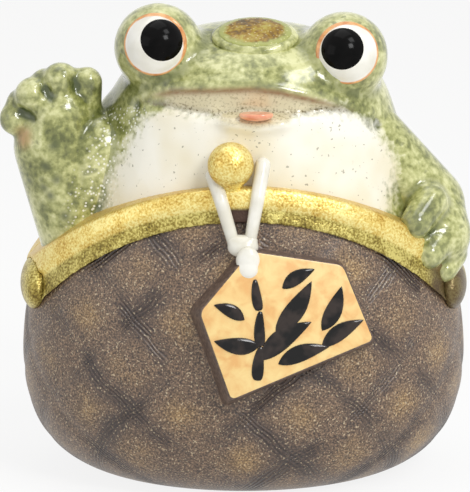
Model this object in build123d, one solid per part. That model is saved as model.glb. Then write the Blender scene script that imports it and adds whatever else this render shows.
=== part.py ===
"""Glazed ceramic frog sitting up out of a clasp purse, as the pieces that are formed one by one and luted.

Millimetres. The origin is the middle of the flat foot, +Z is up and the frog looks along -Y.
Left and right are as the viewer in front of the frog sees them: left is -X.
"""

import os
from math import asin, cos, radians, sin, sqrt

from build123d import *

# Purse: a cast pouch on a flat foot, widest low down, drawn in to an arched mouth
PURSE_WIDTH = 106.0
PURSE_DEPTH = 83.0
RIM_HEIGHT = 70.0
HINGE_HEIGHT = 45.0
HINGE_INSET = 2.0
PURSE_WALL = 5.0
PURSE_FLOOR = 5.0
FOOT_GRIND = 0.4
DRAIN_HOLE_DIAMETER = 12.0
DRAIN_HOLE_SETBACK = 13.0

# Frog torso and head: one casting that stands on the purse's rim
BODY_ROOT_HEIGHT = 38.0
CROWN_HEIGHT = 106.4
BODY_WIDTH = 99.0
BODY_DEPTH = 79.0
HEAD_LEAN = 9.0
HEAD_SHIFT = 2.0
BODY_SETBACK = 3.0
BODY_WALL = 6.0
CROWN_THICKNESS = 16.4

# Eyes, with their heights taken down from the crown
EYE_SPACING = 43.6
EYE_SETBACK = 14.0
EYE_DROP = 3.3
EYE_RISE = 0.85
EYE_MOUND_DIAMETER = 20.6
EYE_MOUND_BLEND = 3.0
EYEBALL_DIAMETER = 16.8
EYEBALL_STAND_OUT = 1.4
EYE_GAZE_UP = 14.0
EYE_GAZE_OUT = 4.0
PUPIL_DIAMETER = 9.8
PUPIL_STAND_OUT = 0.7
PUPIL_SEAT_DEPTH = 0.8
PUPIL_TURN_IN = 13.0
PUPIL_TURN_UP = 7.0

# Mouth and tongue, with their heights taken down from the crown
MOUTH_WIDTH = 49.0
MOUTH_CORNER_DROP = 13.8
MOUTH_UPPER_DROP = 9.2
MOUTH_LOWER_DROP = 14.6
MOUTH_RECESS_DEPTH = 1.6
TONGUE_WIDTH = 8.0
TONGUE_DEPTH = 5.4
TONGUE_THICKNESS = 2.8
TONGUE_SIDE_SHIFT = 2.8
TONGUE_SETBACK = 31.6
TONGUE_DROP = 15.7

# Crown pad with a pool of clear glaze in its dished top
PAD_WIDTH = 21.6
PAD_DEPTH = 17.0
PAD_THICKNESS = 5.4
PAD_SETBACK = 15.0
PAD_RISE = 0.2
PAD_TILT = 22.0
POOL_WIDTH = 16.6
POOL_DEPTH = 12.4
POOL_THICKNESS = 2.6
POOL_LIFT = 1.7

# Clasp: two half frames, each a flange on the purse and a rib on its rim, two hinge knuckles and one ball
FLANGE_HEIGHT = 3.4
FLANGE_STAND_OUT = 1.1
RIB_HEIGHT = 4.6
RIB_STAND_OUT = 2.0
RIB_ROUND = 1.0
FRAME_END_DROP = 1.0
KNUCKLE_WIDTH = 9.0
KNUCKLE_DEPTH = 25.0
KNUCKLE_HEIGHT = 13.4
KNUCKLE_FORWARD = 5.0
KNUCKLE_RISE = 1.2
KNUCKLE_STAND_OUT = 2.0
BALL_DIAMETER = 10.6
BALL_SIDE_SHIFT = -3.0
BALL_INSET = 6.7
BALL_RISE = 9.7

# Plaque hanging over the purse's front, square at the foot and pointed at the head
PLAQUE_WIDTH = 34.0
PLAQUE_SIDE_HEIGHT = 18.4
PLAQUE_PEAK_HEIGHT = 28.8
PLAQUE_PEAK_SHIFT = -1.6
PLAQUE_CORNER_RADIUS = 1.2
PLAQUE_ROOT_DEPTH = 10.6
PLAQUE_DRAFT = 16.0
PLAQUE_ROLL = 22.0
PLAQUE_TURN = 9.0
PLAQUE_LEAN = 10.0
PLAQUE_SIDE_SHIFT = 8.6
PLAQUE_STAND_OUT = 0.9
PLAQUE_DROP = 22.8

# White cord from the ball down to the plaque: its thickness, and the middles of its bends
# given as the place across, the inset from the purse's front and the rise from its rim
CORD_TOP_DIAMETER = 3.6
CORD_BEND_DIAMETER = 3.1
CORD_FOOT_DIAMETER = 2.5
LEFT_CORD_TOP = (-7.0, 8.3, 7.0)
LEFT_CORD_BEND = (-5.1, 4.5, 1.6)
LEFT_CORD_FOOT = (-2.4, 4.0, -7.6)
RIGHT_CORD_TOP = (4.3, 8.1, 9.6)
RIGHT_CORD_BEND = (3.1, 4.6, 2.4)
RIGHT_CORD_FOOT = (1.4, 4.0, -7.4)
KNOT_WIDTH = 7.0
KNOT_DEPTH = 4.6
KNOT_HEIGHT = 4.6
KNOT_PLACE = (-0.2, 3.2, -8.6)
LOOP_WIDTH = 5.4
LOOP_DEPTH = 3.4
LOOP_HEIGHT = 6.6
LOOP_PLACE = (0.9, 0.8, -11.3)

# Raised arm: middles of its ends, palm and finger tips, and how thick it is there
RAISED_ARM_ROOT = (-36.8, -8.0, 54.0)
RAISED_ARM_ROOT_DIAMETER = 20.0
RAISED_SHOULDER = (-34.2, -8.4, 78.6)
RAISED_SHOULDER_DIAMETER = 20.0
RAISED_WRIST = (-43.9, -9.6, 79.6)
RAISED_WRIST_DIAMETER = 20.4
RAISED_PALM = (-43.2, -9.8, 87.4)
RAISED_PALM_DIAMETER = 18.0
RAISED_THUMB = (-52.8, -11.0, 86.4)
RAISED_THUMB_DIAMETER = 7.4
RAISED_FIRST_FINGER = (-49.0, -11.5, 92.6)
RAISED_FIRST_FINGER_DIAMETER = 8.4
RAISED_MIDDLE_FINGER = (-42.8, -11.5, 96.0)
RAISED_MIDDLE_FINGER_DIAMETER = 7.6
RAISED_LAST_FINGER = (-35.6, -10.5, 95.2)
RAISED_LAST_FINGER_DIAMETER = 6.8
RAISED_LAST_KNUCKLE = (-36.6, -10.2, 89.4)
FINGER_ROOT_DIAMETER = 9.0

# Resting arm: from the shoulder down over the elbow to a hand laid on the clasp
RESTING_SHOULDER = (27.4, -9.0, 83.8)
RESTING_SHOULDER_DIAMETER = 17.0
RESTING_ELBOW = (42.5, -6.0, 64.6)
RESTING_ELBOW_DIAMETER = 20.0
RESTING_HAND = (45.0, -12.0, 60.0)
RESTING_HAND_DIAMETER = 16.0
RESTING_FIRST_FINGER = (40.2, -22.4, 60.6)
RESTING_MIDDLE_FINGER = (42.8, -20.6, 54.0)
RESTING_LAST_FINGER = (48.0, -14.4, 49.4)
RESTING_FINGER_DIAMETER = 6.8

# Flanks as curves pulled by five points: distance out as a share of half the width,
# and height as a share of the rise
PURSE_FLANK_SHARES = ((0.585, 0.0), (1.075, 0.056), (1.119, 0.381), (0.894, 0.836), (0.811, 1.114))
BODY_FLANK_SHARES = ((1.0, 0.0), (1.0, 0.25), (0.46, 0.62), (1.02, 1.0), (0.0, 1.0))


def flank(shares, half_width, bottom, rise):
    """The curve up one side of a turned form, drawn behind the Z axis so that the seam lies at the back."""
    return Bezier(*[Vector(0, half_width * out, bottom + rise * up) for out, up in shares])


def turned_form(side):
    """The solid swept out by everything between a side curve and the Z axis."""
    foot = side @ 0
    top = side @ 1
    closing = [top, (0, 0, top.Z), (0, 0, foot.Z), foot]
    if top.Y == 0:
        closing = closing[1:]
    return revolve(make_face(side + Polyline(*closing)), Axis.Z)


def purse_form(grow=0.0):
    """The pouch's outer form before its foot is ground, or one that stands outside it by a given amount."""
    half_width = PURSE_WIDTH / 2 + grow
    flatten = (PURSE_DEPTH / 2 + grow) / half_width
    form = turned_form(flank(PURSE_FLANK_SHARES, half_width, -FOOT_GRIND, RIM_HEIGHT + FOOT_GRIND))
    return form.transform_geometry(Matrix([[1, 0, 0, 0], [0, flatten, 0, 0], [0, 0, 1, 0]]))


def body_form(inset=0.0):
    """The torso and head's form, or one that lies inside it, flattened and leaning towards the front."""
    rise = CROWN_HEIGHT - BODY_ROOT_HEIGHT
    form = turned_form(flank(BODY_FLANK_SHARES, BODY_WIDTH / 2 - inset, BODY_ROOT_HEIGHT, rise - inset))
    flatten = BODY_DEPTH / BODY_WIDTH
    lean = HEAD_LEAN / rise
    shift = HEAD_SHIFT / rise
    return form.transform_geometry(
        Matrix(
            [
                [1, 0, shift, -shift * BODY_ROOT_HEIGHT],
                [0, flatten, -lean, lean * BODY_ROOT_HEIGHT + BODY_SETBACK],
                [0, 0, 1, 0],
            ]
        )
    )


def arch_radius():
    """Radius of the arch that rises from the hinges to the middle of the purse's rim."""
    rise = RIM_HEIGHT - HINGE_HEIGHT
    reach = PURSE_WIDTH / 2 - HINGE_INSET
    return (reach**2 + rise**2) / (2 * rise)


def arch_cylinder(grow=0.0):
    """The round that the purse's rim is cut to, or one about the same middle that is larger or smaller."""
    radius = arch_radius()
    return Pos(0, 0, RIM_HEIGHT - radius) * Rot(90, 0, 0) * Cylinder(radius + grow, PURSE_DEPTH * 2)


def ellipsoid(width, depth, height):
    stretch = Matrix([[width / height, 0, 0, 0], [0, depth / height, 0, 0], [0, 0, 1, 0]])
    return Sphere(height / 2).transform_geometry(stretch)


def spindle(start, end, start_diameter, end_diameter):
    """A limb between two points: round at both ends and tapered in between without a crease."""
    start_radius = start_diameter / 2
    end_radius = end_diameter / 2
    along = Vector(*end) - Vector(*start)
    tilt = asin((start_radius - end_radius) / along.length)
    half_start = (tilt - radians(90)) / 2
    half_end = (tilt + radians(90)) / 2
    outline = [
        ThreePointArc(
            (0, -start_radius),
            (start_radius * cos(half_start), start_radius * sin(half_start)),
            (start_radius * cos(tilt), start_radius * sin(tilt)),
        ),
        Line(
            (start_radius * cos(tilt), start_radius * sin(tilt)),
            (end_radius * cos(tilt), along.length + end_radius * sin(tilt)),
        ),
        ThreePointArc(
            (end_radius * cos(tilt), along.length + end_radius * sin(tilt)),
            (end_radius * cos(half_end), along.length + end_radius * sin(half_end)),
            (0, along.length + end_radius),
        ),
        Line((0, along.length + end_radius), (0, -start_radius)),
    ]
    limb = revolve(Plane.XZ * make_face(outline), Axis.Z)
    return Plane(origin=start, z_dir=along) * limb


def direction(turn, up):
    """A unit direction towards the front, turned to the right and up by degrees."""
    return Vector(sin(radians(turn)) * cos(radians(up)), -cos(radians(turn)) * cos(radians(up)), sin(radians(up)))


def on_front(across, inset, rise):
    """A point by its inset from the purse's front and its rise from the rim."""
    return Vector(across, inset - PURSE_DEPTH / 2, RIM_HEIGHT + rise)


def solid_of(shape):
    """The largest solid of a shape, so that slivers left by a cut are dropped."""
    return max(shape.solids(), key=lambda solid: solid.volume)


def purse(outer, arch):
    """A hollow pouch with an arched rim, a foot ground flat and a drain hole behind the foot's middle."""
    hollow = split(purse_form(-PURSE_WALL), Plane.XY.offset(PURSE_FLOOR), keep=Keep.TOP)
    hole = Pos(0, DRAIN_HOLE_SETBACK, PURSE_FLOOR / 2) * Cylinder(DRAIN_HOLE_DIAMETER / 2, PURSE_FLOOR * 2)
    shell = (outer - hollow - hole) & arch
    return solid_of(split(shell, Plane.XY, keep=Keep.TOP))


def eye_middle(side):
    height = CROWN_HEIGHT - EYE_DROP - side * EYE_RISE
    return Vector(HEAD_SHIFT + side * EYE_SPACING / 2, -EYE_SETBACK, height)


def eyeball_middle(side):
    gaze = direction(side * EYE_GAZE_OUT, EYE_GAZE_UP)
    return eye_middle(side) + gaze * (EYE_MOUND_DIAMETER / 2 + EYEBALL_STAND_OUT - EYEBALL_DIAMETER / 2)


def eyeball(side):
    return Pos(eyeball_middle(side)) * Sphere(EYEBALL_DIAMETER / 2)


def pupil(side):
    """A domed disc on the eyeball, its flat back set into the eyeball."""
    look = direction(side * (EYE_GAZE_OUT - PUPIL_TURN_IN), EYE_GAZE_UP + PUPIL_TURN_UP)
    rim = sqrt((EYEBALL_DIAMETER / 2) ** 2 - (PUPIL_DIAMETER / 2) ** 2)
    dome = EYEBALL_DIAMETER / 2 + PUPIL_STAND_OUT - rim
    dome_radius = ((PUPIL_DIAMETER / 2) ** 2 + dome**2) / (2 * dome)
    middle = eyeball_middle(side)
    ball = Pos(middle + look * (rim + dome - dome_radius)) * Sphere(dome_radius)
    return split(ball, Plane(origin=middle + look * (rim - PUPIL_SEAT_DEPTH), z_dir=look), keep=Keep.TOP)


def mouth_recess():
    """The shallow band between the lips: a lens drawn on the front and sunk to an even depth."""
    left = (HEAD_SHIFT - MOUTH_WIDTH / 2, CROWN_HEIGHT - MOUTH_CORNER_DROP)
    right = (HEAD_SHIFT + MOUTH_WIDTH / 2, CROWN_HEIGHT - MOUTH_CORNER_DROP)
    lens = make_face(
        [
            ThreePointArc(left, (HEAD_SHIFT, CROWN_HEIGHT - MOUTH_UPPER_DROP), right),
            ThreePointArc(right, (HEAD_SHIFT, CROWN_HEIGHT - MOUTH_LOWER_DROP), left),
        ]
    )
    return extrude(Plane.XZ * lens, BODY_DEPTH) - body_form(MOUTH_RECESS_DEPTH)


def frog(outer, arch):
    """The hollow torso and head with two eye mounds, eye sockets and a sunk mouth."""
    form = outer - arch
    for side in (-1, 1):
        form = form + Pos(eye_middle(side)) * Rot(90, 0, 0) * Sphere(EYE_MOUND_DIAMETER / 2)
    mound_foot = CROWN_HEIGHT - EYE_DROP - EYE_MOUND_DIAMETER / 2
    creases = form.edges().filter_by(GeomType.BSPLINE).filter_by(lambda edge: edge.center().Z > mound_foot)
    form = fillet(creases, EYE_MOUND_BLEND)
    hollow = split(body_form(BODY_WALL), Plane.XY.offset(CROWN_HEIGHT - CROWN_THICKNESS), keep=Keep.BOTTOM)
    form = form - hollow - mouth_recess()
    for side in (-1, 1):
        form = form - eyeball(side)
    return solid_of(form)


def tongue(body):
    """A small tongue tip lying on the lower lip."""
    place = Pos(TONGUE_SIDE_SHIFT, -TONGUE_SETBACK, CROWN_HEIGHT - TONGUE_DROP)
    return solid_of(place * ellipsoid(TONGUE_WIDTH, TONGUE_DEPTH, TONGUE_THICKNESS) - body)


def crown_place():
    return Pos(HEAD_SHIFT, -PAD_SETBACK, CROWN_HEIGHT + PAD_RISE) * Rot(PAD_TILT, 0, 0)


def crown_pool():
    return solid_of(crown_place() * Pos(0, 0, POOL_LIFT) * ellipsoid(POOL_WIDTH, POOL_DEPTH, POOL_THICKNESS))


def crown_pad(body, pool):
    return solid_of(crown_place() * ellipsoid(PAD_WIDTH, PAD_DEPTH, PAD_THICKNESS) - pool - body)


def clasp_ring(purse_outer, body_outer):
    """The clasp all round: a low flange that grips the purse and a rounded rib on the rim."""
    flange = purse_form(FLANGE_STAND_OUT) & (arch_cylinder() - arch_cylinder(-FLANGE_HEIGHT))
    rib = purse_form(RIB_STAND_OUT) & (arch_cylinder(RIB_HEIGHT) - arch_cylinder())
    rib = fillet(rib.edges().sort_by(SortBy.LENGTH)[-2:], RIB_ROUND)
    ring = (flange - purse_outer) + (rib - body_outer)
    return split(ring, Plane.XY.offset(HINGE_HEIGHT - FRAME_END_DROP), keep=Keep.TOP)


def clasp_frame(ring, side, knuckles):
    """One half of the clasp, ending against the hinge knuckles."""
    half = split(ring, Plane(origin=(0, 0, 0), z_dir=(0, side, 0)), keep=Keep.TOP)
    return trimmed(half, knuckles)


def knuckle(side, under):
    """A rounded knuckle at one end of the arch, lying over the joint of the two half frames."""
    middle = side * (PURSE_WIDTH / 2 - HINGE_INSET + KNUCKLE_STAND_OUT - KNUCKLE_WIDTH / 2)
    place = Pos(middle, -KNUCKLE_FORWARD, HINGE_HEIGHT + KNUCKLE_RISE)
    return trimmed(place * ellipsoid(KNUCKLE_WIDTH, KNUCKLE_DEPTH, KNUCKLE_HEIGHT), under)


def plaque_plane():
    """The plaque's front face: the origin in its middle and X along its foot edge."""
    facing = direction(PLAQUE_TURN, PLAQUE_LEAN)
    middle = on_front(PLAQUE_SIDE_SHIFT, -PLAQUE_STAND_OUT, -PLAQUE_DROP)
    return Plane(origin=middle, x_dir=(1, 0, 0), z_dir=facing) * Rot(0, 0, PLAQUE_ROLL)


def plaque(purse_outer):
    """A five-sided plate with drafted sides whose back is shaped to the purse."""
    half = PLAQUE_WIDTH / 2
    foot = -PLAQUE_PEAK_HEIGHT / 2
    outline = make_face(
        Polyline(
            (-half, foot),
            (half, foot),
            (half, foot + PLAQUE_SIDE_HEIGHT),
            (PLAQUE_PEAK_SHIFT, foot + PLAQUE_PEAK_HEIGHT),
            (-half, foot + PLAQUE_SIDE_HEIGHT),
            close=True,
        )
    )
    outline = fillet(outline.vertices(), PLAQUE_CORNER_RADIUS)
    plate = extrude(outline, -PLAQUE_ROOT_DEPTH, taper=-PLAQUE_DRAFT)
    return solid_of(plaque_plane() * plate - purse_outer)


def cord(top, bend, foot, under):
    """One strand of moulded cord over whatever lies under it."""
    strand = spindle(on_front(*top), on_front(*bend), CORD_TOP_DIAMETER, CORD_BEND_DIAMETER)
    strand = strand + spindle(on_front(*bend), on_front(*foot), CORD_BEND_DIAMETER, CORD_FOOT_DIAMETER)
    return trimmed(strand, under)


def trimmed(shape, under):
    """A shape with everything that lies under it cut away, so that it seats without overlap."""
    for piece in under:
        shape = shape - piece
    return solid_of(shape)


def knot(under):
    return trimmed(Pos(on_front(*KNOT_PLACE)) * ellipsoid(KNOT_WIDTH, KNOT_DEPTH, KNOT_HEIGHT), under)


def cord_loop(under):
    """The loop that the plaque hangs from, moulded as one closed lobe below the knot."""
    return trimmed(Pos(on_front(*LOOP_PLACE)) * ellipsoid(LOOP_WIDTH, LOOP_DEPTH, LOOP_HEIGHT), under)


def raised_arm(under):
    """The arm held up beside the head with a full shoulder, an open palm, three fingers and a thumb."""
    form = spindle(RAISED_ARM_ROOT, RAISED_WRIST, RAISED_ARM_ROOT_DIAMETER, RAISED_WRIST_DIAMETER)
    form = form + spindle(RAISED_ARM_ROOT, RAISED_SHOULDER, RAISED_ARM_ROOT_DIAMETER, RAISED_SHOULDER_DIAMETER)
    form = form + spindle(RAISED_LAST_KNUCKLE, RAISED_LAST_FINGER, FINGER_ROOT_DIAMETER, RAISED_LAST_FINGER_DIAMETER)
    form = form + spindle(RAISED_WRIST, RAISED_PALM, RAISED_WRIST_DIAMETER, RAISED_PALM_DIAMETER)
    for tip, diameter in (
        (RAISED_THUMB, RAISED_THUMB_DIAMETER),
        (RAISED_FIRST_FINGER, RAISED_FIRST_FINGER_DIAMETER),
        (RAISED_MIDDLE_FINGER, RAISED_MIDDLE_FINGER_DIAMETER),
        (RAISED_LAST_FINGER, RAISED_LAST_FINGER_DIAMETER),
    ):
        form = form + spindle(RAISED_PALM, tip, FINGER_ROOT_DIAMETER, diameter)
    return trimmed(form, under)


def resting_arm(under):
    """The arm hanging from the shoulder, bent at the elbow, its fingers over the clasp."""
    form = spindle(RESTING_SHOULDER, RESTING_ELBOW, RESTING_SHOULDER_DIAMETER, RESTING_ELBOW_DIAMETER)
    form = form + spindle(RESTING_ELBOW, RESTING_HAND, RESTING_ELBOW_DIAMETER, RESTING_HAND_DIAMETER)
    for tip in (RESTING_FIRST_FINGER, RESTING_MIDDLE_FINGER, RESTING_LAST_FINGER):
        form = form + spindle(RESTING_HAND, tip, FINGER_ROOT_DIAMETER, RESTING_FINGER_DIAMETER)
    return trimmed(form, under)


purse_outer = purse_form()
body_outer = body_form()
arch = arch_cylinder()
purse_plug = purse_outer & arch
ring = clasp_ring(purse_outer, body_outer)

parts = {}
parts["purse_body"] = purse(purse_outer, arch)
parts["frog_body"] = frog(body_outer, arch)
for name, side in (("left", -1), ("right", 1)):
    parts[f"pupil_{name}"] = solid_of(pupil(side))
    parts[f"eyeball_{name}"] = solid_of(eyeball(side) - pupil(side))
parts["tongue"] = tongue(parts["frog_body"])
parts["crown_glaze_pool"] = trimmed(crown_pool(), [parts["frog_body"]])
parts["crown_pad"] = crown_pad(parts["frog_body"], parts["crown_glaze_pool"])
knuckles = []
for name, side in (("left", -1), ("right", 1)):
    parts[f"clasp_hinge_{name}"] = knuckle(side, [purse_plug, body_outer])
    knuckles.append(parts[f"clasp_hinge_{name}"])
parts["clasp_frame_front"] = clasp_frame(ring, -1, knuckles)
parts["clasp_frame_rear"] = clasp_frame(ring, 1, knuckles)
frames = [parts["clasp_frame_front"], parts["clasp_frame_rear"]]
clasp = frames + knuckles
seat = [purse_plug, body_outer] + clasp
parts["raised_arm"] = raised_arm(seat)
parts["resting_arm"] = resting_arm(seat)
ball = Pos(on_front(BALL_SIDE_SHIFT, BALL_INSET, BALL_RISE)) * Sphere(BALL_DIAMETER / 2)
parts["clasp_ball"] = trimmed(ball, [body_outer, frames[0]])
parts["tag_plaque"] = plaque(purse_outer)
cord_seat = [purse_plug, body_outer, frames[0], parts["clasp_ball"], parts["tag_plaque"]]
parts["relief_cord_knot"] = knot(cord_seat)
parts["relief_cord_loop"] = cord_loop(cord_seat + [parts["relief_cord_knot"]])
strand_seat = cord_seat + [parts["relief_cord_knot"], parts["relief_cord_loop"]]
parts["relief_cord_left"] = cord(LEFT_CORD_TOP, LEFT_CORD_BEND, LEFT_CORD_FOOT, strand_seat)
strand_seat = strand_seat + [parts["relief_cord_left"]]
parts["relief_cord_right"] = cord(RIGHT_CORD_TOP, RIGHT_CORD_BEND, RIGHT_CORD_FOOT, strand_seat)

os.makedirs("parts", exist_ok=True)
for name, shape in parts.items():
    print(name, shape.is_valid, round(shape.volume, 1), shape.bounding_box())
    export_step(shape, f"parts/{name}.step")
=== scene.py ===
# %% [markdown]
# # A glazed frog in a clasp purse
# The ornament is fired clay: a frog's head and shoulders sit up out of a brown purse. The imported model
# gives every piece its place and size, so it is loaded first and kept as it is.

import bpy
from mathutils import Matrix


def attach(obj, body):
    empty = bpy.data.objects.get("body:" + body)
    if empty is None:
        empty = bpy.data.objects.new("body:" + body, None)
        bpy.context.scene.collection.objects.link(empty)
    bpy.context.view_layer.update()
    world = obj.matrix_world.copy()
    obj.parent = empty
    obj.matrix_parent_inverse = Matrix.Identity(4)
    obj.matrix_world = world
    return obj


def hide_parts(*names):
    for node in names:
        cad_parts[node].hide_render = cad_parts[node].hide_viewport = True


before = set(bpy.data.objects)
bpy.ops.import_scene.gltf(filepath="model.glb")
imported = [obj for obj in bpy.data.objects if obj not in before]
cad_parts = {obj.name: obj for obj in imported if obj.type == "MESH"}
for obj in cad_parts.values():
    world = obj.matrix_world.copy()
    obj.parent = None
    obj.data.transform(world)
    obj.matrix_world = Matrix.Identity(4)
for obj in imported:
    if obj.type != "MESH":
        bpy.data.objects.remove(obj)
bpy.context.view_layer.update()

# %% [markdown]
# ## Camera
# The photograph looks at the frog from straight in front and a little above, from far off, so a long lens
# is used: the eyes and the foot are then seen at nearly the same scale. Sizes in this file are
# millimetres, and MM turns them into Blender's metres.

# %% Camera
from math import asin, cos, pi, radians, sin, sqrt

import bmesh
import bpy
import numpy as np
from mathutils import Matrix, Vector

MM = 0.001
SENSOR_WIDTH = 36
LOOK_DOWN = radians(12)
DISTANCE = 800
WIDTH_SEEN = 112.2
AIM = Vector((-2.03, -0.29, 53.63))

scene = bpy.context.scene
scene.view_settings.view_transform = "Standard"
camera = bpy.data.objects.new("camera", bpy.data.cameras.new("camera"))
camera.data.sensor_fit = "HORIZONTAL"
camera.data.sensor_width = SENSOR_WIDTH
camera.data.lens = SENSOR_WIDTH * DISTANCE / WIDTH_SEEN
camera.location = (AIM + DISTANCE * Vector((0, -cos(LOOK_DOWN), sin(LOOK_DOWN)))) * MM
camera.rotation_euler = (radians(90) - LOOK_DOWN, 0, 0)
scene.collection.objects.link(camera)
scene.camera = camera
print("lens in mm:", round(camera.data.lens, 1))

# %% [markdown]
# ## Node helpers
# Every finish below is a small tree of shader nodes. One helper makes a node and fills or links its
# sockets, and the others name what a glaze needs most: a cloudy pattern, a set of colour steps, a blend
# of two colours, a sum on numbers and fine relief. The last one starts a material and says where its
# patterns are read. Colours are written as they look on screen, from 0 to 255, and turned into Blender's
# linear values.

# %% Node helpers
def colour(red, green, blue):
    """A screen colour as the linear colour that a shader socket takes."""
    shares = [value / 255 for value in (red, green, blue)]
    return [s / 12.92 if s <= 0.04045 else ((s + 0.055) / 1.055) ** 2.4 for s in shares] + [1]


def add_node(tree, kind, sockets=(), **settings):
    """A node with its settings, its sockets given as values or as the outputs that feed them."""
    node = tree.nodes.new(kind)
    for name, value in settings.items():
        setattr(node, name, value)
    for name, value in dict(sockets).items():
        if isinstance(value, bpy.types.NodeSocket):
            tree.links.new(value, node.inputs[name])
        else:
            node.inputs[name].default_value = value
    return node


def clouds(tree, place, size, detail=3.0, warp=0.0):
    """Noise whose patches are about as large as size, in millimetres."""
    sockets = {"Vector": place, "Scale": 1 / (size * MM), "Detail": detail, "Distortion": warp}
    return add_node(tree, "ShaderNodeTexNoise", sockets).outputs["Fac"]


def steps(tree, value, *stops):
    """Colour steps: each stop is a position from 0 to 1 and a colour."""
    ramp = add_node(tree, "ShaderNodeValToRGB", {"Fac": value})
    places = ramp.color_ramp.elements
    while len(places) < len(stops):
        places.new(0.5)
    for place, (position, tone) in zip(places, stops):
        place.position = position
        place.color = tone
    return ramp.outputs["Color"]


def blend(tree, share, under, over):
    """The colour under, covered by the colour over as far as share says."""
    return add_node(tree, "ShaderNodeMix", {0: share, 6: under, 7: over}, data_type="RGBA").outputs[2]


def figure(tree, operation, *values, clamp=False):
    """A sum on numbers, such as ADD or MULTIPLY."""
    node = add_node(tree, "ShaderNodeMath", enumerate(values), operation=operation, use_clamp=clamp)
    return node.outputs[0]


def times(tree, *values, clamp=False):
    """Two numbers multiplied."""
    return figure(tree, "MULTIPLY", *values, clamp=clamp)


def paint(tree, shader, tone):
    """Gives a shader its colour."""
    tree.links.new(tone, shader.inputs["Base Color"])


def emboss(tree, shader, height, strength, depth):
    """Fine relief in a finish, as deep as depth, in millimetres."""
    sockets = {"Strength": strength, "Distance": depth * MM, "Height": height}
    relief = add_node(tree, "ShaderNodeBump", sockets)
    tree.links.new(relief.outputs[0], shader.inputs["Normal"])


def new_finish(name, **sockets):
    """A material with its shader, and the place on the piece that its patterns read."""
    finish = bpy.data.materials.new(name)
    finish.use_nodes = True
    tree = finish.node_tree
    shader = tree.nodes["Principled BSDF"]
    for socket, value in sockets.items():
        shader.inputs[socket.replace("_", " ")].default_value = value
    return finish, tree, shader, add_node(tree, "ShaderNodeTexCoord").outputs["Object"]


WHITE = colour(255, 255, 255)
BLACK = colour(0, 0, 0)
print("screen grey 128 as a linear value:", round(colour(128, 128, 128)[0], 3))

# %% [markdown]
# ## White room
# The photograph is a bright catalogue picture on white. The world is full white to the camera and in
# reflections, and dimmer to light that bounces about, so that the white room doesn't wash the glaze out.
# A Light Path node tells these kinds of ray apart.

# %% White room
SOFT_LIGHT = 0.41


def seen_directly(tree):
    """One for rays from the camera, from gloss and through glass, nought for light that bounces about."""
    path = add_node(tree, "ShaderNodeLightPath").outputs
    total = figure(tree, "ADD", path["Is Camera Ray"], path["Is Glossy Ray"])
    return figure(tree, "ADD", total, path["Is Transmission Ray"], clamp=True)


world = bpy.data.worlds.new("white_studio")
world.use_nodes = True
scene.world = world
sky = world.node_tree
sky.nodes.clear()
soft_light = add_node(sky, "ShaderNodeBackground", {"Color": WHITE, "Strength": SOFT_LIGHT}).outputs[0]
backdrop = add_node(sky, "ShaderNodeBackground", {"Color": WHITE, "Strength": 1.0}).outputs[0]
sky_mix = add_node(sky, "ShaderNodeMixShader", {0: seen_directly(sky), 1: soft_light, 2: backdrop})
add_node(sky, "ShaderNodeOutputWorld", {0: sky_mix.outputs[0]})
print("light from the room:", SOFT_LIGHT)

# %% [markdown]
# ## Lamps
# Four square area lamps face the middle of the ornament. The main one stands to the right and above, a
# weak one to the left opens up the shadows, one hangs overhead, and a small one lights the brow from the
# upper right. Their reflections are the white windows on the wet glaze.

# %% Lamps
LIT_POINT = Vector((0, 0, 0.06))
SOFT_BOXES = {
    "key_box": ((0.40, -0.62, 0.58), 0.24, 3.3),
    "fill_box": ((-0.70, -0.45, 0.30), 0.50, 0.6),
    "top_box": ((-0.05, 0.05, 0.85), 0.55, 1.2),
    "brow_box": ((0.38, -0.32, 0.80), 0.26, 1.6),
}
for name, (stand, across, power) in SOFT_BOXES.items():
    lamp = bpy.data.lights.new(name, "AREA")
    lamp.size = across
    lamp.energy = power
    box = bpy.data.objects.new(name, lamp)
    box.location = stand
    box.rotation_euler = (LIT_POINT - Vector(stand)).to_track_quat("-Z", "Y").to_euler()
    scene.collection.objects.link(box)
    print(f"{name}: {power} W, {across} m across")

# %% [markdown]
# ## Floor
# The floor is a sheet of white paper just under the foot. An emission shader gives the camera most of its
# white, and the lamps light the rest, which leaves a faint shadow round the ornament.

# %% Floor
FLOOR_GLOW = 0.86
FLOOR_DROP = 0.05
floor_bm = bmesh.new()
bmesh.ops.create_grid(floor_bm, x_segments=2, y_segments=2, size=3)
bmesh.ops.translate(floor_bm, verts=floor_bm.verts, vec=(0, 0, -FLOOR_DROP * MM))
floor_mesh = bpy.data.meshes.new("floor")
floor_bm.to_mesh(floor_mesh)
floor_bm.free()
floor = bpy.data.objects.new("floor", floor_mesh)
scene.collection.objects.link(floor)

paper, tree, shader, place = new_finish("white_paper", Base_Color=colour(244, 244, 242), Roughness=0.9)
glow = add_node(tree, "ShaderNodeEmission", {"Color": WHITE, "Strength": 1.0}).outputs[0]
share = times(tree, seen_directly(tree), FLOOR_GLOW)
paper_mix = add_node(tree, "ShaderNodeMixShader", {0: share, 1: shader.outputs[0], 2: glow})
tree.links.new(paper_mix.outputs[0], tree.nodes["Material Output"].inputs[0])
floor_mesh.materials.append(paper)
print("floor faces:", len(floor_mesh.polygons))

# %% [markdown]
# ## Clay helpers
# The frog was modelled in soft clay, so its pieces are made in the same way: plain lumps are set into
# each other, fused into one skin with a voxel remesh, and rubbed smooth. Rubbing also rounds the creases,
# as a wet finger does where an arm is luted on.

# %% Clay helpers
def add_ball(bm, middle, width, depth, height):
    """A ball or egg of clay with its own three sizes."""
    form = Matrix.Translation(middle) @ Matrix.Diagonal((width / 2, depth / 2, height / 2, 1))
    bmesh.ops.create_uvsphere(bm, u_segments=40, v_segments=24, radius=1, matrix=form)


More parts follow.
